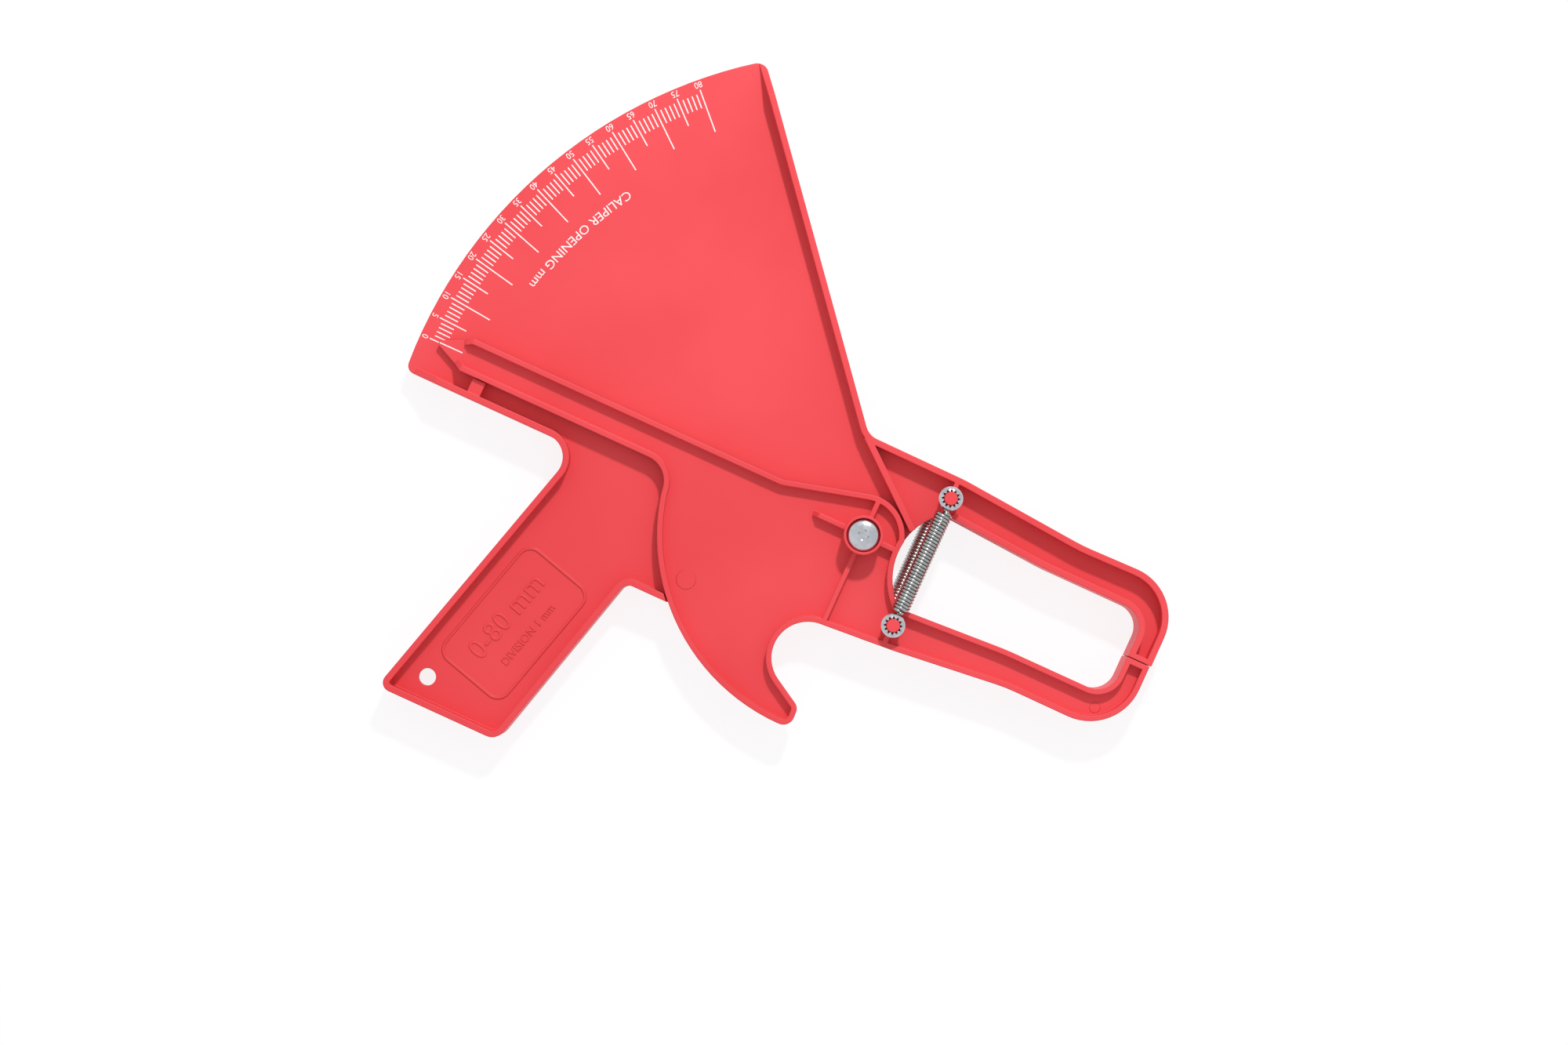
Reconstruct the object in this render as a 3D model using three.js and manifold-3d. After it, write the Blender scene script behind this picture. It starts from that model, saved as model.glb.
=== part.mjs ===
// Skinfold caliper: two red injection mouldings on one pivot, pulled shut by a pair of
// extension springs. Millimetres, +Z up.
// The frame stands on the pivot axis at the height of the surface the caliper lies on:
// +X runs from the pivot to the closed jaw tips, +Y towards the graduated fan, +Z to the
// side that is read. Angles are counted from +X, anticlockwise seen from +Z.
import * as THREE from 'three';
import { mergeVertices } from 'three/addons/utils/BufferGeometryUtils.js';
import Module from 'manifold-3d';

const wasm = await Module();
wasm.setup();
const rad = THREE.MathUtils.degToRad;

// ---------------------------------------------------------------- driving dimensions
const chordError = 0.03;        // how far a facet may cut inside a true arc
const fitGap = 0.3;             // between faces that meet but don't join
const stackGap = 0.1;           // between parts stacked on the pivot
const seatGap = 0.4;            // below the head's washer and below the end of the screw
const pressGap = 0.05;          // around the pressed-in insert
const root = 0.5;               // how far a rib or foot reaches into the web it stands on
const past = 1;                 // how far a cut runs past the face it opens
const skim = 0.1;               // the same, for a sloping cut

// heights
const bodyDepth = 16;           // fixed moulding, rear rims to front rims
const bodyWebBottom = 7.3;
const bodyWebThickness = 2.2;
const webGap = 1;               // between the two webs
const leverWebThickness = 2;
const leverRimRise = 3.8;       // lever rims above the lever web
const bossRise = 10.2;          // lever boss above the lever web

// fan, with its graduated edge centred on the pivot
const fanRadius = 167.7;
const fanTopAngle = 126.1;
const fanTopRadius = 4;
const fanFootRadius = 3;
const footDrop = 13.5;          // lower edge of the fan below the pivot
const footRimEndX = -42.36;     // the rim below the fan ends behind the trigger

// grip
const crotchX = -101.6;
const crotchRadius = 8;
const gripBottom = -116;
const gripBackSlope = 0.276;    // sideways run of the back edge for each mm of height
const gripFrontSlope = 0.264;
const gripFrontX = -67.2;       // front edge where it meets the notch under the fan
const notchDrop = 48.7;
const notchRadius = 3.5;
const gripBackRadius = 3.2;
const gripFrontRadius = 5;
const hangX = 13.7;             // hanging hole, in from the bottom back corner
const hangY = 9.5;
const hangRadius = 3;

// rims, the flanges around both mouldings
const bodyRim = 2.2;
const leverRim = 1.9;
const rampLength = 9;           // where a rim starts on a free corner of the fan
const wallThickness = 1.8;      // end walls that carry the jaw faces
const ribThickness = 1.7;

// jaws: the ends of two curved arms
const jawReach = 108.4;         // pivot to the outside of the closed jaws
const jawThickness = 8.7;
const leverJawStep = 0.5;       // lever jaw short of the fixed one at the tip
const leverJawThickness = 8.4;
// Distances from the centreline to the outer and inner edges of each arm, and where along it
// the outer edge is widest (shoulder) and narrowest (waist).
const upperArm = {
  outer: 28.9,
  waist: 28.1,
  waistX: 70,
  shoulder: 31.8,
  shoulderX: 24,
  inner: 15.5,
  innerRoot: 17.9,
};
const lowerArm = {
  outer: 27.3,
  waist: 27.1,
  waistX: 66,
  shoulder: 31.6,
  shoulderX: 26,
  inner: 15.2,
  innerRoot: 17.6,
};
const innerBendX = 61;
const bendRadius = 60;
const jawOuterRadius = 17.8;
const leverJawOuterRadius = 18.5;
const jawInnerRadius = 8;
const armRootX = -12.4;         // upper arm meets the edge of the fan
const armRootDrop = 32.1;
const armRootRadius = 6.5;

// throat, the round cut behind the springs
const throatX = 36.4;
const throatRadius = 23;
const throatStart = 172;        // angle where the hidden edge joins the throat

// edge and rims of the fixed moulding hidden behind the lever, and the diagonal wall by the throat
const hiddenBend = [-4, -16.5, 14];
const hiddenCornerIn = 2;
const hiddenCornerDrop = 8;
const hiddenCornerRadius = 6;
const rearRimEnd = [-9.6, -39.6, 0];
const diagonalStart = [-12.7, 31.4];
const diagonalFront = [14.9, 8.6];
const diagonalRear = [7, 15.1];

// pivot
const leverHubRadius = 14.3;    // lever outline around the pivot
const bossWall = 0.95;
const headRadius = 5.6;
const headClearance = 0.2;
const headHeight = 2.8;
const headProud = 0.3;          // top of the head above the rim of the boss
const headEdge = 1.3;           // straight edge below the dome
const crossArm = 2.3;
const crossHalf = 0.45;
const crossDepth = 1.6;
const sleeveOuter = 3;
const sleeveInner = 2.2;
const boreGap = 0.3;
const screwRadius = 1.9;
const insertRadius = 3;
const insertLength = 7.2;
const insertFloor = 1.9;        // plastic left under the insert
const grooveHalf = 0.6;
const grooveDepth = 0.4;
const rearBossRadius = 5.2;
const hubRibReach = 20;
const hubRibRise = 14;
const hubRibBottom = 2.5;
const thrustRadius = 9;
const thrustThickness = 0.5;
const headWasherThickness = 0.8;

// trigger and pointer
const triggerRadius = 70.6;     // back edge of the trigger, centred on the pivot
const sweepGap = 0.6;
const triggerCornerRadius = 9;
const triggerCornerTurn = 8;    // degrees of the back edge taken by its upper corner
const pointerHalf = 6;
const pointerEdgeGap = 7.4;     // pointer tip to the graduated edge
const pointerNose = 10.9;       // tip to where the pointer is full width
const pointerShoulder = 7.8;
const pointerTipHalf = 0.8;
const pointerFlare = 1.6;       // narrower than full width at the shoulder
const noseRadii = [0.5, 1, 1.5];
const pointerBendX = -33;
const pointerBendRadius = 6;
const hookX = 0.3;              // finger hook
const hookY = -46.1;
const hookRadius = 12.5;
const tipReach = 4.6;           // trigger tip past the pivot
const tipHeight = 7.8;
const tipLean = 0.4;            // inner corner of the tip, back from the outer one
const tipOuterRadius = 3.9;
const tipInnerRadius = 3;
const bladeReach = 18.6;        // rib from the boss towards the pointer
const bladeNose = 2;
const leverRearRimX = 14;       // where the rear rim of the lever's arm starts

// raised frame on the grip, and the stop that the pointer rests on
const frameWidth = 28.6;
const frameHeight = 49.5;
const frameX = -96.7;
const frameY = -77.3;
const frameLine = 0.8;
const frameRise = 0.35;
const frameRadius = 5;
const stopX = -141.9;
const stopWidth = 4.7;
const stopSink = 1.5;           // top of the stop below the front rims

// springs
const pegY = 23.8;
const frontPegX = 22;
const rearPegX = 19.7;
const pegRadius = 2.3;
const pegFoot = 3.3;
const frontPegProud = 2.2;      // peg end beyond the spring's mid-plane
const rearPegProud = 2.5;
const frontSpringZ = 20;
const rearSpringZ = 3.7;
const coilRadius = 3.1;
const wireRadius = 0.55;
const coilToPeg = 4.8;          // end of the coils to the peg's axis
const hookLoopRadius = 3.15;    // middle of the wire of the end loop
const ringOuter = 4.05;
const ringThickness = 0.5;
const ringGap = 0.25;

// ---------------------------------------------------------------- sizes that follow
const headPocket = headRadius + headClearance;
const bossRadius = headPocket + bossWall;
const coilLength = 2 * (pegY - coilToPeg);
const bodyWebTop = bodyWebBottom + bodyWebThickness;
const leverWebBottom = bodyWebTop + webGap;
const leverWebTop = leverWebBottom + leverWebThickness;
const leverTop = leverWebTop + leverRimRise;
const bossTop = leverWebTop + bossRise;
const headTop = bossTop + headProud;
const headSeat = headTop - headHeight;
const pocketFloor = headSeat - headWasherThickness - seatGap;
const shankEnd = insertFloor + seatGap;
const leverJawReach = jawReach - leverJawStep;
const leverJawInside = leverJawReach - leverJawThickness;

// ---------------------------------------------------------------- outlines
// An outline is a list of corners [x, y, radius], anticlockwise, material on the left.

function arcSteps(radius, sweep) {
  const step = 2 * Math.acos(1 - Math.min(chordError / radius, 0.5));
  return Math.max(1, Math.ceil(Math.abs(sweep) / step));
}

// Corners along a circle from one angle to another, both ends included.
function arcCorners(x, y, radius, from, to) {
  const steps = arcSteps(radius, rad(to - from));
  return Array.from({ length: steps + 1 }, (_, i) => {
    const angle = rad(from + ((to - from) * i) / steps);
    return [x + radius * Math.cos(angle), y + radius * Math.sin(angle), 0];
  });
}

function roundCorner(before, corner, after) {
  const here = new THREE.Vector2(corner[0], corner[1]);
  const back = new THREE.Vector2(before[0], before[1]).sub(here);
  const ahead = new THREE.Vector2(after[0], after[1]).sub(here);
  const room = 0.95 * Math.min(back.length(), ahead.length());
  back.normalize();
  ahead.normalize();
  const half = Math.acos(THREE.MathUtils.clamp(back.dot(ahead), -1, 1)) / 2;
  if (corner[2] <= 0 || half > Math.PI / 2 - 1e-4) return [here];
  const tangent = Math.min(corner[2] / Math.tan(half), room);
  const radius = tangent * Math.tan(half);
  const centre = back.clone().add(ahead).normalize().multiplyScalar(radius / Math.sin(half)).add(here);
  const start = back.multiplyScalar(tangent).add(here).sub(centre);
  const end = ahead.multiplyScalar(tangent).add(here).sub(centre);
  const sweep = Math.atan2(start.cross(end), start.dot(end));
  const steps = arcSteps(radius, sweep);
  const origin = new THREE.Vector2();
  return Array.from({ length: steps + 1 }, (_, i) =>
    start.clone().rotateAround(origin, (sweep * i) / steps).add(centre));
}

function roundedPath(corners, closed) {
  const count = corners.length;
  return corners.flatMap((corner, i) => {
    const isEnd = !closed && (i === 0 || i === count - 1);
    if (isEnd) return [new THREE.Vector2(corner[0], corner[1])];
    return roundCorner(corners[(i + count - 1) % count], corner, corners[(i + 1) % count]);
  });
}

// The same corners moved to the left by a distance, as the inner edge of a rim.
function offsetCorners(corners, distance, closed) {
  const count = corners.length;
  return corners.map((corner, i) => {
    const before = closed || i > 0 ? corners[(i + count - 1) % count] : null;
    const after = closed || i < count - 1 ? corners[(i + 1) % count] : null;
    const here = new THREE.Vector2(corner[0], corner[1]);
    const into = before && here.clone().sub(new THREE.Vector2(before[0], before[1])).normalize();
    const out = after && new THREE.Vector2(after[0], after[1]).sub(here).normalize();
    const first = into ?? out;
    const last = out ?? into;
    const bisector = new THREE.Vector2(-first.y - last.y, first.x + last.x).normalize();
    const reach = distance / (-first.y * bisector.x + first.x * bisector.y);
    const turnsLeft = first.cross(last) > 0;
    const radius = corner[2] > 0 ? Math.max(corner[2] + (turnsLeft ? -distance : distance), 0.4) : 0;
    return [corner[0] + reach * bisector.x, corner[1] + reach * bisector.y, radius];
  });
}

// ---------------------------------------------------------------- solids

function toSolid(geometry) {
  geometry.deleteAttribute('normal');
  geometry.deleteAttribute('uv');
  const merged = mergeVertices(geometry, 1e-5);
  return new wasm.Manifold(new wasm.Mesh({
    numProp: 3,
    vertProperties: new Float32Array(merged.attributes.position.array),
    triVerts: new Uint32Array(merged.index.array),
  }));
}

function toMesh(name, solid, material) {
  const mesh = solid.getMesh();
  const geometry = new THREE.BufferGeometry();
  geometry.setAttribute('position', new THREE.BufferAttribute(mesh.vertProperties, 3));
  geometry.setIndex(new THREE.BufferAttribute(mesh.triVerts, 1));
  geometry.computeVertexNormals();
  const result = new THREE.Mesh(geometry, material);
  result.name = name;
  return result;
}

const join = (...solids) => solids.reduce((whole, piece) => whole.add(piece));
const cut = (solid, ...tools) => tools.reduce((whole, tool) => whole.subtract(tool), solid);

// A flat plate with the given edge, between two heights.
function plate(points, bottom, top) {
  const settings = { depth: top - bottom, bevelEnabled: false };
  const geometry = new THREE.ExtrudeGeometry(new THREE.Shape(points), settings);
  geometry.translate(0, 0, bottom);
  return toSolid(geometry);
}

function rectangle(x0, y0, x1, y1) {
  return [[x0, y0], [x1, y0], [x1, y1], [x0, y1]].map(([x, y]) => new THREE.Vector2(x, y));
}

// A rim of one width standing on the left of an open path.
function rim(corners, width, bottom, top) {
  const outer = roundedPath(corners, false);
  const inner = roundedPath(offsetCorners(corners, width, false), false);
  return plate([...outer, ...inner.reverse()], bottom, top);
}

// A straight rib of one thickness between two points.
function rib(from, to, thickness, bottom, top) {
  const [a, b] = offsetCorners([[...from, 0], [...to, 0]], -thickness / 2, false);
  return rim([a, b], thickness, bottom, top);
}

function disc(x, y, radius, bottom, top) {
  return plate(roundedPath(arcCorners(x, y, radius, 0, 360).slice(0, -1), true), bottom, top);
}

function ringSolid(x, y, outer, inner, bottom, top) {
  return cut(disc(x, y, outer, bottom, top), disc(x, y, inner, bottom - 1, top + 1));
}

// What lies above a slope that climbs over a length, seen from the side. It starts at a point
// and climbs in a compass direction, between two heights; a fall is a climb downwards.
function aboveSlope(start, direction, length, bottom, top) {
  const reach = 12;
  const far = top + Math.sign(top - bottom) * reach;
  const side = [[-reach, bottom], [0, bottom], [length, top], [length, far], [-reach, far]];
  const shape = new THREE.Shape(side.map(([x, y]) => new THREE.Vector2(x, y)));
  const geometry = new THREE.ExtrudeGeometry(shape, { depth: 2 * reach, bevelEnabled: false });
  geometry.rotateX(Math.PI / 2);
  geometry.translate(0, reach, 0);
  geometry.rotateZ(rad(direction));
  geometry.translate(start[0], start[1], 0);
  return toSolid(geometry);
}

// ---------------------------------------------------------------- shared edges

const gapHalf = fitGap / 2;
const jawInside = jawReach - jawThickness;

// Angle at which a horizontal line at some height meets the throat circle, on its left side.
const throatAngle = (height) => 180 - THREE.MathUtils.radToDeg(Math.asin(height / throatRadius));
const throatCornerX = (height) => throatX - Math.sqrt(throatRadius ** 2 - height ** 2);
const throatCorner = [throatCornerX(upperArm.innerRoot), upperArm.innerRoot, 0];

// Graduated edge and the straight edge beside it.
const fanTop = [
  fanRadius * Math.cos(rad(fanTopAngle)),
  fanRadius * Math.sin(rad(fanTopAngle)),
  fanTopRadius,
];
const fanFoot = [-Math.sqrt(fanRadius ** 2 - footDrop ** 2), -footDrop, fanFootRadius];
const footAngle = 180 + THREE.MathUtils.radToDeg(Math.asin(footDrop / fanRadius));
const fanArcStart = 3;          // degrees left to the two rounded corners
const fanArc = arcCorners(0, 0, fanRadius, fanTopAngle + fanArcStart, footAngle - fanArcStart);

const gripHeight = -footDrop - gripBottom;
const gripBack = [crotchX - gripHeight * gripBackSlope, gripBottom, gripBackRadius];
const gripFrontDrop = -notchDrop - gripBottom;
const gripFront = [gripFrontX - gripFrontDrop * gripFrontSlope, gripBottom, gripFrontRadius];

const footCorners = [
  fanFoot,
  [crotchX, -footDrop, crotchRadius],
  gripBack,
  gripFront,
  [gripFrontX, -notchDrop, notchRadius],
];
const hiddenCorners = [
  [1 - Math.sqrt(triggerRadius ** 2 - notchDrop ** 2), -notchDrop, 1],
  hiddenBend,
  [throatX - throatRadius - hiddenCornerIn, -hiddenCornerDrop, hiddenCornerRadius],
];
const upperInner = [
  [innerBendX, upperArm.inner, bendRadius],
  [jawInside, upperArm.inner, jawInnerRadius],
  [jawInside, gapHalf, 0],
];
const upperOuter = [
  [jawReach, gapHalf, 0],
  [jawReach, upperArm.outer, jawOuterRadius],
  [upperArm.waistX, upperArm.waist, bendRadius],
  [upperArm.shoulderX, upperArm.shoulder, bendRadius],
  [armRootX, armRootDrop, armRootRadius],
];

const bodyEdge = [
  ...footCorners,
  ...hiddenCorners,
  ...arcCorners(throatX, 0, throatRadius, throatStart, throatAngle(upperArm.innerRoot)).slice(0, -1),
  throatCorner,
  ...upperInner,
  ...upperOuter,
  fanTop,
  ...fanArc,
];

// ---------------------------------------------------------------- fixed moulding

const frontShoulder = frontSpringZ - wireRadius - ringGap;
const rearShoulder = rearSpringZ + wireRadius + ringGap;
const frontPegEnd = frontSpringZ + frontPegProud;
const rearPegEnd = rearSpringZ - rearPegProud;
const edgeAngle = THREE.MathUtils.radToDeg(Math.atan2(armRootDrop - fanTop[1], armRootX - fanTop[0]));

// A spring peg with its foot, from inside a web out to its end, on either side of the web.
function pegSolid(x, y, web, shoulder, end) {
  const inside = web + Math.sign(web - end) * root;
  const span = (a, b) => [Math.min(a, b), Math.max(a, b)];
  return join(
    disc(x, y, pegFoot, ...span(inside, shoulder)),
    disc(x, y, pegRadius, ...span(inside, end)),
  );
}

// Raised frame on the grip web, leaning with the grip.
function gripFrame() {
  const lean = -Math.atan(gripBackSlope);
  const corners = rectangle(-frameWidth / 2, -frameHeight / 2, frameWidth / 2, frameHeight / 2)
    .map((corner) => corner.rotateAround(new THREE.Vector2(), lean))
    .map((corner) => [corner.x + frameX, corner.y + frameY, frameRadius]);
  const inside = offsetCorners(corners, frameLine, true);
  return cut(
    plate(roundedPath(corners, true), bodyWebTop - root, bodyWebTop + frameRise),
    plate(roundedPath(inside, true), bodyWebTop - past, bodyWebTop + past),
  );
}

function scaleBodySolid() {
  const top = bodyDepth;
  const footRimPath = [...footCorners, [footRimEndX, -notchDrop, 0]];
  const footSlopeStart = [fanFoot[0] + fanFootRadius, -footDrop];
  const openingPath = [[frontPegX + coilRadius, upperArm.innerRoot, 0], ...upperInner];
  const footRim = cut(
    rim(footRimPath, bodyRim, bodyWebBottom, top),
    disc(0, 0, triggerRadius + sweepGap, bodyWebTop, top + past),
    aboveSlope(footSlopeStart, 0, rampLength, bodyWebTop, top + skim),
  );
  const edgeRim = cut(
    rim([...upperOuter, fanTop], bodyRim, 0, top),
    aboveSlope(fanTop, edgeAngle, rampLength + fanTopRadius, bodyWebTop, top + skim),
    aboveSlope(fanTop, edgeAngle, rampLength + fanTopRadius, bodyWebBottom, -skim),
  );
  const rearFootRim = cut(
    rim([...footCorners, hiddenCorners[0], rearRimEnd], bodyRim, 0, bodyWebTop),
    aboveSlope(footSlopeStart, 0, rampLength, bodyWebBottom, -skim),
  );
  const openingRim = join(
    rim(openingPath, bodyRim, bodyWebBottom, top),
    rim(openingPath, bodyRim, 0, bodyWebTop),
  );
  const jawWall = plate(rectangle(jawInside, gapHalf, jawReach, gapHalf + wallThickness), 0, top);
  const throat = disc(throatX, 0, throatRadius, -past, top + past);
  const diagonal = join(
    cut(rib(diagonalStart, diagonalFront, bodyRim, bodyWebBottom, top), throat),
    rib(diagonalStart, diagonalRear, bodyRim, 0, bodyWebTop),
  );
  const stop = plate(
    rectangle(stopX - stopWidth / 2, past - footDrop, stopX + stopWidth / 2, -pointerHalf - fitGap),
    bodyWebTop - root,
    top - stopSink,
  );
  const pegRibY = upperArm.shoulder - past;
  const pegs = join(
    pegSolid(frontPegX, pegY, bodyWebTop, frontShoulder, frontPegEnd),
    pegSolid(rearPegX, pegY, bodyWebBottom, rearShoulder, rearPegEnd),
    rib([frontPegX, pegY], [frontPegX, pegRibY], ribThickness, bodyWebTop - root, top),
    rib([rearPegX, pegY], [rearPegX, pegRibY], ribThickness, rearShoulder, bodyWebTop - root),
  );
  const hub = join(
    disc(0, 0, rearBossRadius, 0, bodyWebTop),
    rib([0, 0], [-hubRibReach, 0], ribThickness, hubRibBottom, bodyWebTop - root),
    rib([0, 0], [0, hubRibRise], ribThickness, hubRibBottom, bodyWebTop - root),
  );
  const outline = roundedPath(bodyEdge, true);
  const web = plate(outline, bodyWebBottom, bodyWebTop);
  const rims = join(footRim, rearFootRim, edgeRim, diagonal).intersect(plate(outline, 0, top));
  const hangingHole = disc(gripBack[0] + hangX, gripBottom + hangY, hangRadius, -past, top + past);
  const insertHole = disc(0, 0, insertRadius + pressGap, insertFloor, top);
  const frame = cut(join(web, rims), hangingHole);
  return cut(join(frame, openingRim, jawWall, stop, pegs, hub, gripFrame()), insertHole);
}

// ---------------------------------------------------------------- lever

const pointerTip = -(fanRadius - pointerEdgeGap);
const hookTangent = (() => {
  const dx = tipReach - tipLean - hookX;
  const dy = -triggerRadius + tipHeight - hookY;
  const toTip = THREE.MathUtils.radToDeg(Math.atan2(dy, dx));
  return toTip - THREE.MathUtils.radToDeg(Math.acos(hookRadius / Math.hypot(dx, dy)));
})();
const triggerCornerAngle = 180 + THREE.MathUtils.radToDeg(Math.asin(pointerHalf / triggerRadius));
const hubTangent = (() => {
  const away = THREE.MathUtils.radToDeg(Math.atan2(pointerHalf, pointerBendX));
  return away - THREE.MathUtils.radToDeg(Math.acos(leverHubRadius / Math.hypot(pointerBendX, pointerHalf)));
})();
// where the hub circle meets the throat circle
const hubMeetX = (leverHubRadius ** 2 - throatRadius ** 2 + throatX ** 2) / (2 * throatX);
const hubMeetY = Math.sqrt(leverHubRadius ** 2 - hubMeetX ** 2);
const hubMeetAngle = THREE.MathUtils.radToDeg(Math.atan2(hubMeetY, hubMeetX));
const throatMeetAngle = 180 - THREE.MathUtils.radToDeg(Math.asin(hubMeetY / throatRadius));

const pointerNoseCorners = [
  [pointerTip, -pointerTipHalf, noseRadii[0]],
  [pointerTip + pointerShoulder, pointerFlare - pointerHalf, noseRadii[1]],
  [pointerTip + pointerNose, -pointerHalf, noseRadii[2]],
];
const lowerOuter = [
  [lowerArm.shoulderX, -lowerArm.shoulder, bendRadius],
  [lowerArm.waistX, -lowerArm.waist, bendRadius],
  [leverJawReach, -lowerArm.outer, leverJawOuterRadius],
  [leverJawReach, -gapHalf, 0],
];
const lowerInner = [
  [leverJawInside, -gapHalf, 0],
  [leverJawInside, -lowerArm.inner, jawInnerRadius],
  [innerBendX, -lowerArm.inner, bendRadius],
];
const leverThroatCorner = [throatCornerX(lowerArm.innerRoot), -lowerArm.innerRoot, 0];
const leverAround = [
  ...pointerNoseCorners.slice(1),
  [triggerRadius * Math.cos(rad(triggerCornerAngle)), -pointerHalf, triggerCornerRadius],
  ...arcCorners(0, 0, triggerRadius, triggerCornerAngle + triggerCornerTurn, 270),
  [tipReach, -Math.sqrt(triggerRadius ** 2 - tipReach ** 2), tipOuterRadius],
  [tipReach - tipLean, -triggerRadius + tipHeight, tipInnerRadius],
  ...arcCorners(hookX, hookY, hookRadius, hookTangent, -270),
  ...lowerOuter,
  ...lowerInner,
  leverThroatCorner,
  ...arcCorners(throatX, 0, throatRadius, 360 - throatAngle(lowerArm.innerRoot), throatMeetAngle).slice(1),
  ...arcCorners(0, 0, leverHubRadius, hubMeetAngle, hubTangent).slice(1),
  [pointerBendX, pointerHalf, pointerBendRadius],
  ...pointerNoseCorners.slice(1).reverse().map(([x, y, radius]) => [x, -y, radius]),
];
const leverEdge = [
  pointerNoseCorners[0],
  ...leverAround,
  [pointerNoseCorners[0][0], -pointerNoseCorners[0][1], pointerNoseCorners[0][2]],
];

function leverSolid() {
  const web = plate(roundedPath(leverEdge, true), leverWebBottom, leverWebTop);
  const slopeStart = [pointerTip + pointerShoulder, 0];
  const slopeLength = pointerNose - pointerShoulder;
  const frontRim = cut(
    rim(leverAround, leverRim, leverWebBottom, leverTop),
    aboveSlope(slopeStart, 0, slopeLength, leverWebTop, leverTop + skim),
  );
  const rearStart = [leverRearRimX, -lowerArm.shoulder - past, 0];
  const rearRims = join(
    rim([rearStart, ...lowerOuter], leverRim, 0, leverWebTop),
    rim([...lowerInner, [frontPegX + coilRadius, -lowerArm.innerRoot, 0]], leverRim, 0, leverWebTop),
  );
  const jawWall = plate(
    rectangle(leverJawInside, -gapHalf - wallThickness, leverJawReach, -gapHalf),
    0,
    leverTop,
  );
  const pegRibY = past - lowerArm.shoulder;
  const pegs = join(
    pegSolid(frontPegX, -pegY, leverWebTop, frontShoulder, frontPegEnd),
    pegSolid(rearPegX, -pegY, leverWebBottom, rearShoulder, rearPegEnd),
    rib([frontPegX, -pegY], [frontPegX, pegRibY], ribThickness, leverWebTop - root, leverTop),
    rib([rearPegX, -pegY], [rearPegX, pegRibY], ribThickness, rearShoulder, leverWebBottom + root),
  );
  const inside = leverWebTop - root;
  const blade = cut(
    rib([0, 0], [-bladeReach, 0], ribThickness, inside, leverTop),
    aboveSlope([-bladeReach, 0], 0, bladeNose, leverWebTop + past, leverTop + skim),
  );
  const hub = join(
    disc(0, 0, bossRadius, inside, bossTop),
    blade,
    rib([0, 0], [throatX - throatRadius - past, 0], ribThickness, inside, leverTop),
    rib([0, 0], [0, leverHubRadius - past], ribThickness, inside, leverTop),
    rib([0, 0], [0, hookY + hookRadius + past], ribThickness, inside, leverTop),
  );
  const bore = disc(0, 0, sleeveOuter + boreGap, leverWebBottom - past, pocketFloor + past);
  const pocket = disc(0, 0, headPocket, pocketFloor, bossTop + past);
  return cut(join(web, frontRim, rearRims, jawWall, pegs, hub), bore, pocket);
}

// ---------------------------------------------------------------- pivot hardware

const turnedSides = 32;

function turned(points) {
  const profile = points.map(([r, z]) => new THREE.Vector2(r, z));
  const geometry = new THREE.LatheGeometry(profile, turnedSides);
  geometry.rotateX(Math.PI / 2);
  return toSolid(geometry);
}

// Domed head with a cross recess on a plain shank.
function screwSolid() {
  const steps = 6;
  const dome = Array.from({ length: steps + 1 }, (_, i) => {
    const angle = ((i / steps) * Math.PI) / 2;
    const height = headEdge + (headHeight - headEdge) * Math.sin(angle);
    return [i < steps ? headRadius * Math.cos(angle) : 0, headSeat + height];
  });
  const shank = [[0, shankEnd], [screwRadius, shankEnd], [screwRadius, headSeat], [headRadius, headSeat]];
  const recessFloor = headTop - crossDepth;
  const across = plate(rectangle(-crossArm, -crossHalf, crossArm, crossHalf), recessFloor, headTop + past);
  const along = plate(rectangle(-crossHalf, -crossArm, crossHalf, crossArm), recessFloor, headTop + past);
  return cut(turned([...shank, ...dome]), across, along);
}

const washerTop = headSeat - stackGap;
const washerBottom = washerTop - headWasherThickness;
const headWasher = () => ringSolid(0, 0, headRadius, sleeveInner, washerBottom, washerTop);
const pivotSleeve = () =>
  ringSolid(0, 0, sleeveOuter, sleeveInner, bodyWebTop + stackGap, washerBottom - stackGap);
const thrustBottom = bodyWebTop + (webGap - thrustThickness) / 2;
const thrustWasher = () =>
  ringSolid(0, 0, thrustRadius, sleeveOuter + boreGap, thrustBottom, thrustBottom + thrustThickness);

// Knurled sleeve pressed into the blind boss of the fixed moulding.
function insertSolid() {
  const bottom = insertFloor + pressGap;
  const top = bottom + insertLength;
  const middle = (bottom + top) / 2;
  const groove = ringSolid(
    0,
    0,
    insertRadius + past,
    insertRadius - grooveDepth,
    middle - grooveHalf,
    middle + grooveHalf,
  );
  return cut(ringSolid(0, 0, insertRadius, screwRadius + stackGap, bottom, top), groove);
}

// ---------------------------------------------------------------- springs

// Each spring is closed coils along Y between two end loops. The last turn and the lower loop
// are pieces of their own: the turn slides away along the spring as it stretches, and the loop
// stays on its peg.
const coilSides = 24;
const wireSides = 8;

function loopSolid(x, y, z) {
  const loop = new THREE.TorusGeometry(hookLoopRadius, wireRadius, wireSides, coilSides);
  loop.translate(x, y, z);
  return toSolid(loop);
}

function rodAlongY(radius, x, z, y0, y1, sides) {
  const rod = new THREE.CylinderGeometry(radius, radius, y1 - y0, sides);
  rod.translate(x, (y0 + y1) / 2, z);
  return toSolid(rod);
}

function turnsSolid(x, z, y0, y1) {
  const inner = coilRadius - 2 * wireRadius;
  const section = [[inner, y0], [coilRadius, y0], [coilRadius, y1], [inner, y1], [inner, y0]];
  const profile = section.map(([r, y]) => new THREE.Vector2(r, y));
  const geometry = new THREE.LatheGeometry(profile, coilSides);
  geometry.translate(x, 0, z);
  return toSolid(geometry);
}

const coilEnd = coilLength / 2;
const turn = 2 * wireRadius;

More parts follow.
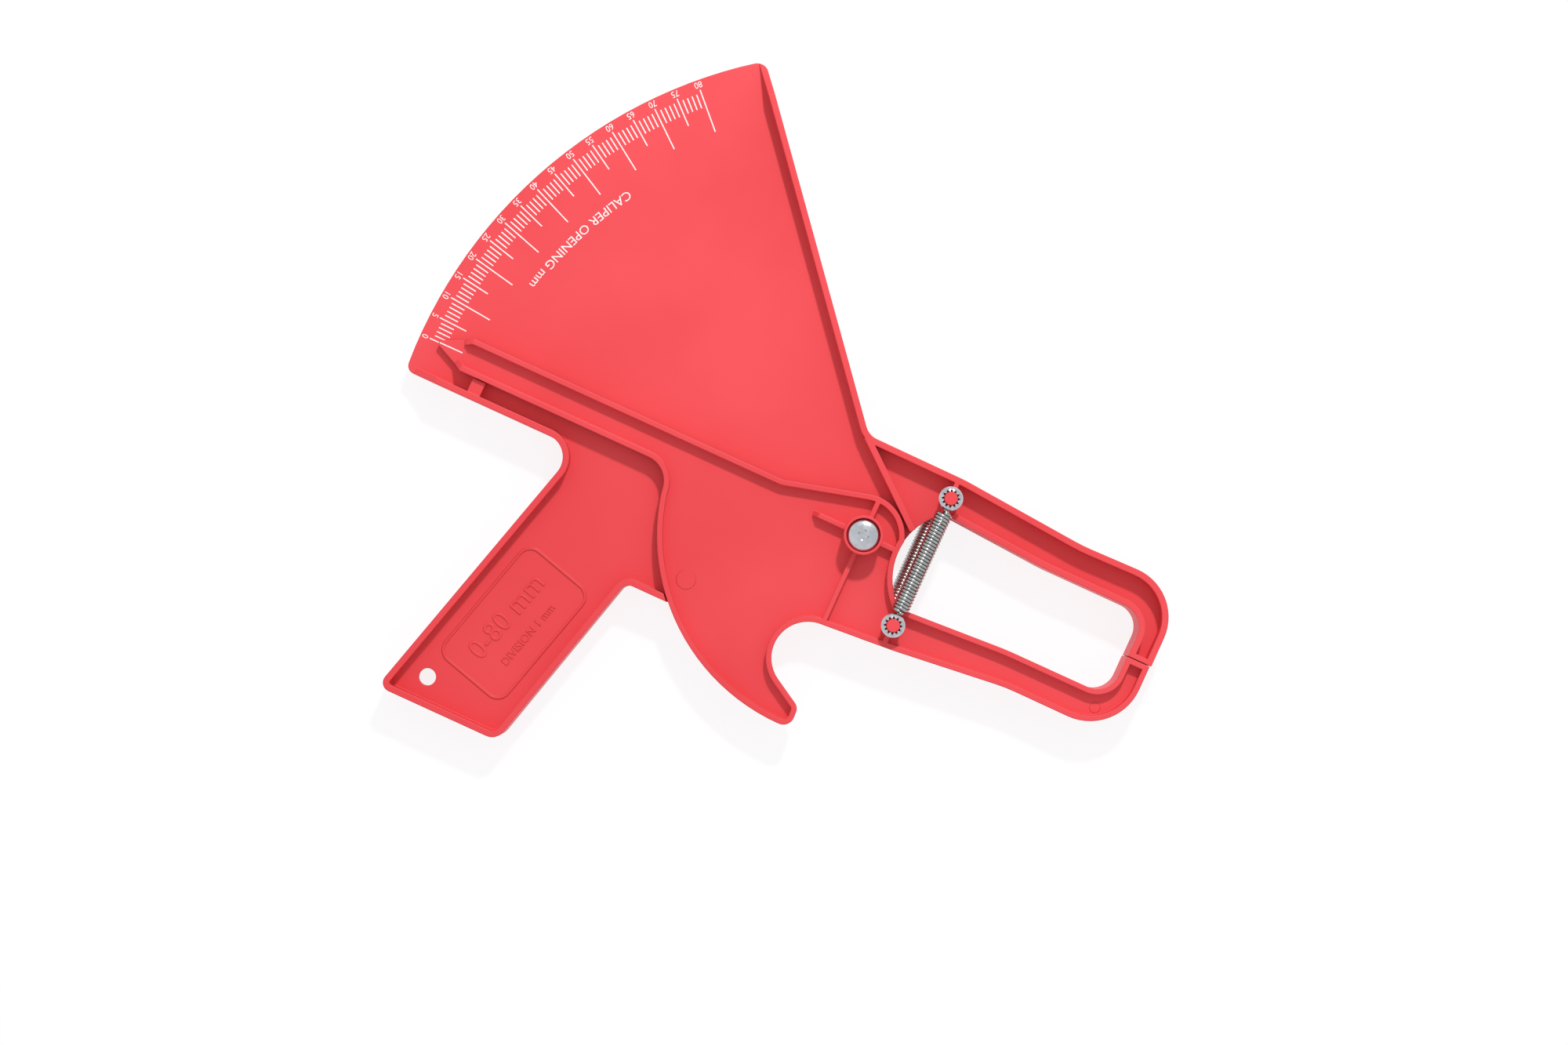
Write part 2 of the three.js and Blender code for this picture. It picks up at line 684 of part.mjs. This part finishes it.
function springSolid(x, z) {
  return join(
    turnsSolid(x, z, fitGap + turn - coilEnd, coilEnd),
    rodAlongY(coilRadius - wireRadius, x, z, coilEnd - turn, coilEnd, coilSides),
    rodAlongY(wireRadius, x, z, coilEnd - turn / 2, pegY - hookLoopRadius, wireSides),
    loopSolid(x, pegY, z),
  );
}

const springEndSolid = (x, z) => turnsSolid(x, z, -coilEnd, turn - coilEnd);

function springHookSolid(x, z) {
  return join(
    rodAlongY(wireRadius, x, z, hookLoopRadius - pegY, -coilEnd - fitGap, wireSides),
    loopSolid(x, -pegY, z),
  );
}

// Push-on ring over a peg end, outside the spring's loop.
function pushRing(x, y, springZ, side) {
  const near = springZ + side * (wireRadius + ringGap);
  const far = near + side * ringThickness;
  return ringSolid(x, y, ringOuter, pegRadius + stackGap, Math.min(near, far), Math.max(near, far));
}

// ---------------------------------------------------------------- materials and assembly

const finish = (color, roughness, metalness) =>
  new THREE.MeshStandardMaterial({ color, roughness, metalness });
const redPlastic = finish(0xd8323c, 0.35, 0);
const zinc = finish(0xc9cdd2, 0.25, 1);
const springSteel = finish(0x9aa0a6, 0.3, 1);
const brass = finish(0xc29a4b, 0.35, 1);
const acetal = finish(0xe9e6dd, 0.5, 0);

const caliper = new THREE.Group();
const addPiece = (name, solid, material) => caliper.add(toMesh(name, solid, material));

addPiece('scale_body', scaleBodySolid(), redPlastic);
addPiece('lever', leverSolid(), redPlastic);
addPiece('pivot_screw', screwSolid(), zinc);
addPiece('head_washer', headWasher(), zinc);
addPiece('pivot_sleeve', pivotSleeve(), zinc);
addPiece('thrust_washer', thrustWasher(), acetal);
addPiece('threaded_insert', insertSolid(), brass);
const springSides = [
  ['front', frontPegX, frontSpringZ, 1],
  ['rear', rearPegX, rearSpringZ, -1],
];
for (const [side, x, z, out] of springSides) {
  addPiece(`${side}_spring`, springSolid(x, z), springSteel);
  addPiece(`${side}_spring_end`, springEndSolid(x, z), springSteel);
  addPiece(`${side}_spring_hook`, springHookSolid(x, z), springSteel);
  addPiece(`${side}_upper_ring`, pushRing(x, pegY, z, out), zinc);
  addPiece(`${side}_lower_ring`, pushRing(x, -pegY, z, out), zinc);
}

export default caliper;
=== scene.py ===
"""Looks of a skinfold caliper: two red mouldings on a pivot, sprung shut, read on a printed fan."""
import math

import bmesh
import bpy
from mathutils import Matrix, Vector


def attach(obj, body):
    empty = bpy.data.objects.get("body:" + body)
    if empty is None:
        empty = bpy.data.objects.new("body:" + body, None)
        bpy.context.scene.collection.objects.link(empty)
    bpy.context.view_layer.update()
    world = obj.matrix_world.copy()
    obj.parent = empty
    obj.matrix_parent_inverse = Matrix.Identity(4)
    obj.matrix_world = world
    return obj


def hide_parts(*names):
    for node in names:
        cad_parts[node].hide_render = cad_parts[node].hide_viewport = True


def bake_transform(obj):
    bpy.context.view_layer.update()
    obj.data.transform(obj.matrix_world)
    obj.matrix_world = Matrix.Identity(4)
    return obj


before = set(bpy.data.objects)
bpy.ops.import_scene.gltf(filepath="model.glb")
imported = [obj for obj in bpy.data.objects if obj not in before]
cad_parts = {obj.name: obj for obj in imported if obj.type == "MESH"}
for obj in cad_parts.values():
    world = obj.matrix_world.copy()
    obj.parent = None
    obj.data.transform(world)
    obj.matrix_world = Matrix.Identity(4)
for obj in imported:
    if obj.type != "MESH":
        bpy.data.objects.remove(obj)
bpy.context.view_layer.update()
scene = bpy.context.scene
MM = 0.001

# ---------------------------------------------------------------- camera
# The caliper lies flat and is looked at from straight above, turned so that its jaws point
# down to the right. The camera leans a degree towards the grip.
camera_turn = math.radians(24.55)
camera_aim = Vector((-26.5, -7.1, 11)) * MM
camera_height = 1.0
camera_lean = math.radians(1.2)
field_width = 0.54
sensor = 36

camera = bpy.data.objects.new("camera", bpy.data.cameras.new("camera"))
scene.collection.objects.link(camera)
scene.camera = camera
camera.data.sensor_width = sensor
camera.data.lens = sensor * camera_height / field_width
camera.data.clip_start = 0.01
turn = Matrix.Rotation(camera_turn, 4, "Z") @ Matrix.Rotation(camera_lean, 4, "X")
camera.matrix_world = Matrix.Translation(camera_aim) @ turn @ Matrix.Translation((0, 0, camera_height))


# ---------------------------------------------------------------- the two red mouldings
# One batch of bright red styrene: satin from a spark-finished tool, with faint clouding from the
# melt. The body is the fan, the grip and the upper jaw; the lever is the pointer, the trigger
# and the lower jaw. The mesh keeps its square edges, and the finish rounds how they take the light.
edge_ease = 0.55 * MM
same_point = 0.002 * MM


class Value:
    """A shader socket that takes part in sums. Each operation adds a Math node."""

    def __init__(self, tree, socket):
        self.tree = tree
        self.socket = socket

    def math(self, operation, *terms):
        node = self.tree.nodes.new("ShaderNodeMath")
        node.operation = operation
        for place, term in zip(node.inputs, terms):
            put(self.tree, place, term)
        return Value(self.tree, node.outputs[0])

    def __add__(self, other):
        return self.math("ADD", self, other)

    def __mul__(self, other):
        return self.math("MULTIPLY", self, other)

    __radd__ = __add__
    __rmul__ = __mul__


def put(tree, place, value):
    if isinstance(value, Value):
        tree.links.new(value.socket, place)
    else:
        place.default_value = value


class Finish:
    """A material under construction: its node tree, its shader and its object coordinates."""

    def __init__(self, name, **shader):
        self.material = bpy.data.materials.new(name)
        self.material.use_nodes = True
        self.tree = self.material.node_tree
        self.shader = self.tree.nodes["Principled BSDF"]
        self.set(**shader)
        self.place = self.node("ShaderNodeTexCoord", out="Object")

    def set(self, **values):
        for name, value in values.items():
            put(self.tree, self.shader.inputs[name.replace("_", " ")], value)

    def node(self, kind, settings=None, out=0, **values):
        node = self.tree.nodes.new(kind)
        for name, value in (settings or {}).items():
            setattr(node, name, value)
        for name, value in values.items():
            put(self.tree, node.inputs[name.replace("_", " ")], value)
        return Value(self.tree, node.outputs[out])

    def noise(self, scale, detail=2.0, roughness=0.5, place=None):
        return self.node(
            "ShaderNodeTexNoise",
            Vector=place or self.place,
            Scale=scale,
            Detail=detail,
            Roughness=roughness,
        )

    def remap(self, value, low, high, to_low, to_high):
        return self.node(
            "ShaderNodeMapRange",
            Value=value,
            From_Min=low,
            From_Max=high,
            To_Min=to_low,
            To_Max=to_high,
        )

    def mix(self, factor, first, second):
        node = self.tree.nodes.new("ShaderNodeMix")
        node.data_type = "RGBA"
        for slot, value in zip((0, 6, 7), (factor, first, second)):
            put(self.tree, node.inputs[slot], value)
        return Value(self.tree, node.outputs[2])

    def bump(self, height, distance, strength=1.0, **around):
        sizes = {"Height": height, "Distance": distance, "Strength": strength}
        self.set(Normal=self.node("ShaderNodeBump", **sizes, **around))


def moulded_red():
    finish = Finish("moulded_red", IOR=1.52, Specular_IOR_Level=0.4)
    cloud = finish.noise(14, detail=3)
    grain = finish.noise(2600, detail=1)
    deep = (0.72, 0.042, 0.052, 1)
    light = (0.77, 0.056, 0.068, 1)
    finish.set(Base_Color=finish.mix(finish.remap(cloud, 0.35, 0.65, 0, 1), deep, light))
    finish.set(Roughness=finish.remap(cloud + grain * 0.3, 0.4, 0.9, 0.44, 0.52))
    eased = finish.node("ShaderNodeBevel", {"samples": 6}, Radius=edge_ease)
    finish.bump(grain, 0.02 * MM, 0.4, Normal=eased)
    return finish.material


red = moulded_red()


def add_piece(name, bm, material, body, replaced=()):
    """A finished piece: its mesh from bm, its material, the body it rides and what it stands for."""
    bmesh.ops.recalc_face_normals(bm, faces=bm.faces)
    mesh = bpy.data.meshes.new(name)
    bm.to_mesh(mesh)
    bm.free()
    mesh.materials.append(material)
    piece = bpy.data.objects.new(name, mesh)
    scene.collection.objects.link(piece)
    if replaced:
        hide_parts(*replaced)
    if body:
        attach(piece, body)
    return piece


def smooth(piece):
    for face in piece.data.polygons:
        face.use_smooth = True


def moulding(name, node, body):
    bm = bmesh.new()
    bm.from_mesh(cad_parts[node].data)
    bmesh.ops.remove_doubles(bm, verts=bm.verts, dist=same_point)
    return add_piece(name, bm, red, body, (node,))


moulding("fixed_moulding", "scale_body", "body")
moulding("lever_moulding", "lever", "lever")


# ---------------------------------------------------------------- printed scale
# White ink screened on the fan: a tick for each millimetre between the jaws, longer at each 5 and
# longest at each 10, numbers at each 5 along the edge with their tops towards the pivot, and a
# line of words inside the ticks. The reading d stands at the angle whose chord is d at the jaws.
fan_face = 9.5 * MM
ink_lift = 0.02 * MM
ink_depth = 0.03 * MM
chord_reach = 103.5 * MM
scale_end = 80
tick_width = 0.42 * MM
tick_outer, tick_inner = 163.0 * MM, 158.0 * MM
five_outer, five_inner = 164.2 * MM, 154.0 * MM
ten_inner = 148.7 * MM
number_height = 2.3 * MM
number_radius = 165.9 * MM
number_width = 0.9
words_height = 3.2 * MM
words_radius = 142.8 * MM
words_width = 1.05


def printed_white():
    finish = Finish("printed_white", Specular_IOR_Level=0.3)
    wear = finish.noise(900, detail=3, roughness=0.7)
    ink = (0.90, 0.80, 0.80, 1)
    thin_ink = (0.86, 0.66, 0.67, 1)
    finish.set(Base_Color=finish.mix(finish.remap(wear, 0.35, 0.6, 0, 1), thin_ink, ink))
    finish.set(Roughness=finish.remap(wear, 0.3, 0.7, 0.5, 0.62))
    finish.bump(wear, 0.01 * MM, 0.3)
    return finish.material


def add_block(bm, centre, across, size):
    """A block whose length lies along a direction in the plane, sizes (length, width, height)."""
    angle = math.atan2(across[1], across[0])
    place = Matrix.Translation(centre) @ Matrix.Rotation(angle, 4, "Z") @ Matrix.Diagonal((*size, 1))
    bmesh.ops.create_cube(bm, size=1, matrix=place)


def reading_angle(reading):
    return math.pi - 2 * math.asin(reading * MM / (2 * chord_reach))


def add_words(bm, words, height, depth, place, width=1.0):
    """Words standing on place's origin, centred along its x and their capitals centred on its y."""
    curve = bpy.data.curves.new("words", "FONT")
    curve.body = words
    curve.align_x = "CENTER"
    curve.resolution_u = 3
    cap_share = 0.729
    curve.size = height / cap_share
    curve.extrude = depth / 2
    thing = bpy.data.objects.new("words", curve)
    scene.collection.objects.link(thing)
    bpy.context.view_layer.update()
    shaped = thing.evaluated_get(bpy.context.evaluated_depsgraph_get())
    mesh = bpy.data.meshes.new_from_object(shaped)
    mesh.transform(Matrix.Diagonal((width, 1, 1, 1)) @ Matrix.Translation((0, -height / 2, 0)))
    letters = bmesh.new()
    letters.from_mesh(mesh)
    bmesh.ops.remove_doubles(letters, verts=letters.verts, dist=0.001 * MM)
    for corner in letters.verts:
        corner.co = place(corner.co)
    letters.to_mesh(mesh)
    letters.free()
    bm.from_mesh(mesh)
    bpy.data.objects.remove(thing)
    bpy.data.curves.remove(curve)
    bpy.data.meshes.remove(mesh)


def on_arc(radius, angle, height):
    """Lays words along an arc about the pivot with their tops towards the pivot."""

    def place(point):
        at = angle + point.x / radius
        out = radius - point.y
        return Vector((out * math.cos(at), out * math.sin(at), height + point.z))

    return place


white = printed_white()
bm = bmesh.new()
ink_height = fan_face + ink_lift
for reading in range(scale_end + 1):
    inner = ten_inner if reading % 10 == 0 else five_inner if reading % 5 == 0 else tick_inner
    outer = five_outer if reading % 5 == 0 else tick_outer
    angle = reading_angle(reading)
    ray = Vector((math.cos(angle), math.sin(angle), 0))
    middle = ray * (inner + outer) / 2 + Vector((0, 0, ink_height))
    add_block(bm, middle, ray, (outer - inner, tick_width, ink_depth))
for reading in range(0, scale_end + 1, 5):
    number_place = on_arc(number_radius, reading_angle(reading), ink_height)
    add_words(bm, str(reading), number_height, ink_depth, number_place, number_width)
words_angle = math.pi - math.radians(21.9)
words_place = on_arc(words_radius, words_angle, ink_height)
add_words(bm, "CALIPER OPENING mm", words_height, ink_depth, words_place, words_width)
add_piece("scale_print", bm, white, "body")

# ---------------------------------------------------------------- pointer line
# One white line along the middle of the pointer's nose, screened on the lever like the scale.
nose_face = 12.5 * MM
line_outer, line_inner = 160.0 * MM, 151.5 * MM
bm = bmesh.new()
line_middle = Vector((-(line_outer + line_inner) / 2, 0, nose_face + ink_lift))
add_block(bm, line_middle, (1, 0), (line_outer - line_inner, tick_width, ink_depth))
add_piece("pointer_line", bm, white, "lever")

# ---------------------------------------------------------------- words raised on the grip
# Shallow raised letters inside the frame on the grip, part of the body moulding: the range in
# tall narrow figures and a smaller line under them, both running up the grip.
grip_lean = math.atan(0.276)
grip_up = math.radians(90) - grip_lean
letters_rise = 0.28 * MM


def on_grip(x, y):
    """Lays words on the grip web, running up it, about a point of the web."""
    turned = Matrix.Translation((x * MM, y * MM, fan_face)) @ Matrix.Rotation(grip_up, 4, "Z")
    return lambda point: turned @ point


bm = bmesh.new()
add_words(bm, "0-80 mm", 7.6 * MM, 2 * letters_rise, on_grip(-100.6, -76.0), 0.92)
add_words(bm, "DIVISION 1 mm", 3.0 * MM, 2 * letters_rise, on_grip(-90.8, -78.8), 0.95)
letters = add_piece("grip_letters", bm, red, "body")
bevel = letters.modifiers.new("eased edges", "BEVEL")
bevel.width = 0.1 * MM
bevel.segments = 1
bevel.limit_method = "ANGLE"

# ---------------------------------------------------------------- ejector marks
# Faint round marks where the ejector pins of the tool pushed: one on the trigger and one on the
# lower arm, part of the lever's moulding.
mark_rise = 0.05 * MM
mark_taper = 0.1
for name, body, x, y, radius, face in (
    ("trigger_mark", "lever", -49, -39, 3.5, 12.5),
    ("jaw_mark", "lever", 97, -20.6, 2.0, 12.5),
):
    bm = bmesh.new()
    place = Matrix.Translation((x * MM, y * MM, face * MM))
    bmesh.ops.create_cone(
        bm,
        cap_ends=True,
        segments=48,
        radius1=radius * MM,
        radius2=(radius - mark_taper) * MM,
        depth=2 * mark_rise,
        matrix=place,
    )
    add_piece(name, bm, red, body)

# ---------------------------------------------------------------- pivot screw
# Zinc-plated pan-head screw with a cross recess. It holds the lever on the steel sleeve and
# bites in the brass insert in the blind boss behind.
head_radius = 5.6 * MM
head_seat = 20.2 * MM
head_top = 23.0 * MM
shank_radius = 1.9 * MM
shank_end = 2.3 * MM
recess_arm = 2.5 * MM
recess_half = 0.55 * MM
recess_depth = 1.7 * MM
recess_taper = 0.55
cutter_over = 1 * MM
head_edge = 1.2 * MM
under_edge = 0.3 * MM
dome_steps = 12
smooth_under = math.radians(32)


def plated(name, tint, roughness, scratches):
    finish = Finish(name, Metallic=1)
    haze = finish.noise(420, detail=3)
    brushed = finish.node("ShaderNodeMapping", Vector=finish.place, Scale=(1, 14, 1))
    marks = finish.noise(900, detail=4, roughness=0.7, place=brushed)
    dull = tuple(0.82 * part for part in tint)
    finish.set(Base_Color=finish.mix(finish.remap(haze, 0.35, 0.65, 0, 1), (*dull, 1), (*tint, 1)))
    finish.set(Roughness=finish.remap(haze + marks * scratches, 0.4, 1.0, roughness, roughness + 0.14))
    finish.bump(marks, 0.01 * MM, 0.25)
    return finish.material


zinc = plated("zinc_plated", (0.72, 0.75, 0.80), 0.08, 0.3)


def spun(bm, profile, steps):
    """A profile of (radius, height) points turned all the way round the pivot axis."""
    corners = [bm.verts.new((radius, 0, height)) for radius, height in profile]
    edges = [bm.edges.new(pair) for pair in zip(corners, corners[1:])]
    bmesh.ops.spin(
        bm,
        geom=corners + edges,
        cent=(0, 0, 0),
        axis=(0, 0, 1),
        angle=2 * math.pi,
        steps=steps,
        use_merge=True,
    )
    bmesh.ops.remove_doubles(bm, verts=bm.verts, dist=0.001 * MM)


head_rise = head_top - head_seat - head_edge
dome = [
    (0, shank_end),
    (shank_radius, shank_end),
    (shank_radius, head_seat),
    (head_radius - under_edge, head_seat),
    (head_radius, head_seat + under_edge),
]
for step in range(dome_steps + 1):
    angle = step / dome_steps * math.pi / 2
    dome.append((head_radius * math.cos(angle), head_seat + head_edge + head_rise * math.sin(angle)))
dome[-1] = (0, head_top)
bm = bmesh.new()
spun(bm, dome, 64)
screw = add_piece("screw", bm, zinc, None)

bm = bmesh.new()
arm_middle = Matrix.Translation((0, 0, head_top - recess_depth / 2 + cutter_over / 2))
arm_size = Matrix.Diagonal((2 * recess_arm, 2 * recess_half, recess_depth + cutter_over, 1))
for quarter in (0, 1):
    arm_turn = Matrix.Rotation(quarter * math.pi / 2, 4, "Z")
    arm = bmesh.ops.create_cube(bm, size=1, matrix=arm_middle @ arm_turn @ arm_size)
    for corner in arm["verts"]:
        if corner.co.z < head_top - recess_depth:
            corner.co.x *= recess_taper
            corner.co.y *= recess_taper
cutter = add_piece("cutter", bm, zinc, None)
recess = screw.modifiers.new("recess", "BOOLEAN")
recess.object = cutter
recess.operation = "DIFFERENCE"
recess.solver = "EXACT"
recess.use_self = True
bpy.context.view_layer.update()
cut_screw = screw.evaluated_get(bpy.context.evaluated_depsgraph_get())
cut_mesh = bpy.data.meshes.new_from_object(cut_screw)
screw.modifiers.clear()
screw.data = cut_mesh
bpy.data.objects.remove(cutter)
smooth(screw)
screw.data.set_sharp_from_angle(angle=smooth_under)
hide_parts("pivot_screw")
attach(screw, "body")

# ---------------------------------------------------------------- hidden pivot hardware
# The zinc washer under the head, the steel sleeve the lever turns on, the acetal thrust washer
# between the two webs and the brass insert.
brass = plated("turned_brass", (0.80, 0.58, 0.28), 0.24, 0.8)


def moulded_acetal():
    finish = Finish("acetal", IOR=1.48)
    cloud = finish.noise(60, detail=2)
    finish.set(Base_Color=finish.mix(cloud, (0.80, 0.78, 0.72, 1), (0.86, 0.85, 0.80, 1)))
    finish.set(Roughness=finish.remap(cloud, 0.3, 0.7, 0.45, 0.6))
    finish.bump(finish.noise(1800), 0.01 * MM, 0.3)
    return finish.material


acetal = moulded_acetal()
for node, material in (
    ("head_washer", zinc),
    ("pivot_sleeve", zinc),
    ("threaded_insert", brass),
    ("thrust_washer", acetal),
):
    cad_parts[node].data.materials.clear()
    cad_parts[node].data.materials.append(material)

# ---------------------------------------------------------------- springs
# Two extension springs of bright 1.1 mm wire pull the jaws shut, one on each side of the webs.
# The coils are close-wound at rest. At each end the last turn crosses to the middle and runs out
# to a full loop around a moulded peg.
wire = 0.55 * MM
mean_radius = 2.55 * MM
coil_end = 19 * MM
peg_y = 23.8 * MM
loop_radius = 3.15 * MM
coil_turns = 32
turn_steps = 20
wire_sides = 10
lead_sides = 12
loop_steps = 40
crossing_steps = 10
crossing_turn = 0.999 * math.pi
crossing_run = 0.25 * MM
crossing_start = coil_end - 0.2 * MM
lead_start = coil_end - 0.5 * MM
spring_sides = (("front", 22.0 * MM, 20.0 * MM, 1), ("rear", 19.7 * MM, 3.7 * MM, -1))

steel = plated("spring_wire", (0.50, 0.52, 0.51), 0.14, 0.6)


def with_edges(corners):
    """Corners and the edges between them, in one order, as a spin takes them."""
    return corners + list(dict.fromkeys(edge for corner in corners for edge in corner.link_edges))


def wire_ring(bm, centre, across):
    """The round section of the wire at a point, its plane holding across and Y."""
    turned = Matrix((across, (0, 1, 0), across.cross(Vector((0, 1, 0))))).transposed().to_4x4()
    place = Matrix.Translation(centre) @ turned
    made = bmesh.ops.create_circle(bm, segments=wire_sides, radius=wire, matrix=place)
    return with_edges(made["verts"])


def bend_wire(bm, section, centre, axis, angle, steps, climb=0.0):
    """Winds the wire on from its last section around an axis, and gives the new last section."""
    made = bmesh.ops.spin(
        bm,
        geom=section,
        cent=centre,
        axis=axis,
        dvec=Vector(axis) * climb / steps,
        angle=angle,
        steps=steps,
    )
    return made["geom_last"]


def coil_piece(name, x, z, y_from, y_to, turns, body):
    bm = bmesh.new()
    section = wire_ring(bm, Vector((x, y_from, z + mean_radius)), Vector((0, 0, 1)))
    steps = round(turns * turn_steps)
    bend_wire(bm, section, (x, 0, z), (0, 1, 0), turns * 2 * math.pi, steps, y_to - y_from)
    bmesh.ops.holes_fill(bm, edges=bm.edges)
    return add_piece(name, bm, steel, body)


def end_loop(name, x, z, end, body):
    """The last turn crossing to the middle, the short lead and the loop around the peg."""
    bm = bmesh.new()
    start = Vector((x, end * crossing_start, z + mean_radius))
    section = wire_ring(bm, start, Vector((0, 0, 1)))
    middle = (x, 0, z + mean_radius / 2)
    bend_wire(bm, section, middle, (0, 1, 0), crossing_turn, crossing_steps, end * crossing_run)
    bmesh.ops.holes_fill(bm, edges=bm.edges)
    near = end * lead_start
    far = end * (peg_y - loop_radius)
    rod = Matrix.Translation((x, (near + far) / 2, z)) @ Matrix.Rotation(math.pi / 2, 4, "X")
    bmesh.ops.create_cone(
        bm,
        cap_ends=True,
        segments=lead_sides,
        radius1=wire,
        radius2=wire,
        depth=abs(far - near),
        matrix=rod,
    )
    loop_place = Matrix.Translation((x, far, z)) @ Matrix.Rotation(math.pi / 2, 4, "Y")
    ring = bmesh.ops.create_circle(bm, segments=wire_sides, radius=wire, matrix=loop_place)
    bmesh.ops.spin(
        bm,
        geom=with_edges(ring["verts"]),
        cent=(x, end * peg_y, z),
        axis=(0, 0, 1),
        angle=2 * math.pi,
        steps=loop_steps,
        use_merge=True,
    )
    return add_piece(name, bm, steel, body)


for side, x, z, out in spring_sides:
    coils = coil_piece(f"{side}_coils", x, z, coil_end - wire, wire - coil_end, coil_turns, None)
    smooth(coils)
    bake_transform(coils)
    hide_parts(f"{side}_spring", f"{side}_spring_end")
    smooth(end_loop(f"{side}_upper_loop", x, z, 1, f"{side}_spring"))
    lower = end_loop(f"{side}_lower_loop", x, z, -1, f"{side}_spring_hook")
    smooth(lower)
    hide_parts(f"{side}_spring_hook")

# ---------------------------------------------------------------- push-on rings
# A thin plated ring with inward teeth is pressed over each red peg to hold the spring's loop.
ring_outer = 4.05 * MM
tooth_tip = 2.4 * MM
tooth_root = 3.3 * MM
teeth = 12
tooth_share = 4
ring_near = 0.8 * MM
rim_width = 0.25 * MM
rim_rise = 0.25 * MM
tooth_lift = 0.5 * MM
sheet_thickness = 0.25 * MM


def ring_row(bm, centre, out, radii, lift):
    """Corners round the ring: half of each tooth's share at one radius, half at the other."""
    steps = teeth * tooth_share
    row = []
    for step in range(steps):
        angle = step * 2 * math.pi / steps
        radius = radii[0] if step % tooth_share < tooth_share / 2 else radii[1]
        rise = lift if radius != tooth_root else min(lift, rim_rise)
        ray = Vector((radius * math.cos(angle), radius * math.sin(angle), out * rise))
        row.append(bm.verts.new(centre + ray))
    return row


for side, x, z, out in spring_sides:
    for end, label, body in ((1, "upper", "body"), (-1, "lower", "lever")):
        bm = bmesh.new()
        centre = Vector((x, end * peg_y, z + out * ring_near))
        inside = ring_outer - rim_width
        rows = [
            ring_row(bm, centre, out, (ring_outer, ring_outer), 0),
            ring_row(bm, centre, out, (inside, inside), rim_rise),
            ring_row(bm, centre, out, (tooth_root, tooth_root), rim_rise),
            ring_row(bm, centre, out, (tooth_tip, tooth_root), tooth_lift),
        ]
        for outer_row, inner_row in zip(rows, rows[1:]):
            for step in range(len(outer_row)):
                after = (step + 1) % len(outer_row)
                bm.faces.new((outer_row[step], outer_row[after], inner_row[after], inner_row[step]))
        bmesh.ops.remove_doubles(bm, verts=bm.verts, dist=0.001 * MM)
        replaced = (f"{side}_{label}_ring",)
        ring = add_piece(f"{side}_{label}_push_ring", bm, zinc, body, replaced)
        sheet = ring.modifiers.new("thickness", "SOLIDIFY")
        sheet.thickness = sheet_thickness
        sheet.offset = 0

# ---------------------------------------------------------------- studio
# A pale sheet lit from below as well as above, so that shadows on it are faint. One lamp high on
# the far side throws the crisp shadows, and a pale room fills them.
floor_finish = Finish("floor", Roughness=0.9, Emission_Strength=0.86)
floor_finish.set(Base_Color=(0.13, 0.13, 0.13, 1), Emission_Color=(0.995, 0.99, 1, 1))
bm = bmesh.new()
bmesh.ops.create_grid(bm, x_segments=1, y_segments=1, size=3)
floor_mesh = bpy.data.meshes.new("floor")
bm.to_mesh(floor_mesh)
bm.free()
floor_mesh.materials.append(floor_finish.material)
floor = bpy.data.objects.new("floor", floor_mesh)
scene.collection.objects.link(floor)
floor.location.z = -0.0002

camera_right = Vector((math.cos(camera_turn), math.sin(camera_turn), 0))
camera_up = Vector((-math.sin(camera_turn), math.cos(camera_turn), 0))

lamp_light = bpy.data.lights.new("key", "AREA")
lamp_light.shape = "DISK"
lamp_light.size = 0.10
lamp_light.energy = 10
lamp = bpy.data.objects.new("key", lamp_light)
scene.collection.objects.link(lamp)
lamp.location = camera_aim + camera_right * 0.25 + camera_up * 0.80 + Vector((0, 0, 0.95))
lamp.rotation_euler = (lamp.location - camera_aim).to_track_quat("Z", "Y").to_euler()

world = bpy.data.worlds.new("studio")
scene.world = world
world.use_nodes = True
world.node_tree.nodes["Background"].inputs["Color"].default_value = (1, 1, 1, 1)
world.node_tree.nodes["Background"].inputs["Strength"].default_value = 0.73
scene.view_settings.view_transform = "Standard"
